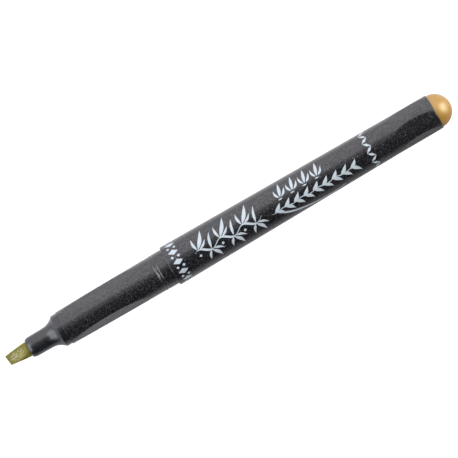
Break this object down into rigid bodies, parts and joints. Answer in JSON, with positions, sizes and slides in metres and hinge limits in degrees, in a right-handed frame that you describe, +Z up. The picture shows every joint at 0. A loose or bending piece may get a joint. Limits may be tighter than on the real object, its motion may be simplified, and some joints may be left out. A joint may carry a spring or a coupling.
{
  "type": "calligraphy marker",
  "caption": "Slim metallic-ink marker, uncapped: chisel nib that presses in to open a spring valve, grip with three finger flats, tapered barrel with six rear flats, mixing ball, domed end plug.",
  "frame": {"origin": "on the surface the pen lies on, under the middle of its length and of its width", "axes": "+X along the pen from the nib to the end plug, +Z up, with the nib's two broad bevels facing up and down"},
  "size_m": [0.128, 0.0106, 0.0107],
  "materials": {
    "barrel_plastic": "black pearl moulding with fine mica flecks, satin",
    "grip_plastic": "black pearl moulding with fine mica flecks, satin",
    "nose_plastic": "blue-black pearl moulding, smooth satin",
    "nib_fibre": "pressed fibre soaked in gold ink, with dried flakes",
    "seal_rubber": "moulded rubber",
    "valve_plastic": "natural moulding",
    "spring_steel": "drawn stainless wire",
    "ball_steel": "polished bearing steel",
    "plug_gold": "metallic gold moulding, satin"
  },
  "bodies": {
    "pen_body": {"barrel": "barrel_plastic", "grip_section": "grip_plastic", "nib_holder": "nose_plastic", "valve_seat": "seal_rubber", "valve_cage": "valve_plastic", "valve_spring": "spring_steel", "end_plug": "plug_gold"},
    "nib": {"nib": "nib_fibre"},
    "valve_stem": {"valve_stem": "valve_plastic"},
    "mixing_ball": {"mixing_ball": "ball_steel"}
  },
  "joints": [
    {"name": "nib_press", "type": "slide", "parent": "pen_body", "child": "nib", "axis": [1, 0, 0], "range_m": [0, 0.0012], "stiffness_N_per_m": 250, "springref_m": -0.002},
    {"name": "valve_lift", "type": "slide", "parent": "pen_body", "child": "valve_stem", "axis": [1, 0, 0], "range_m": [0, 0.0012], "deforming": ["valve_spring"]},
    {"name": "ball_slide", "type": "slide", "parent": "pen_body", "child": "mixing_ball", "axis": [1, 0, 0], "range_m": [-0.0556, 0]}
  ],
  "couplings": [
    {"joint": "valve_lift", "follows": "nib_press", "ratio": 1}
  ]
}
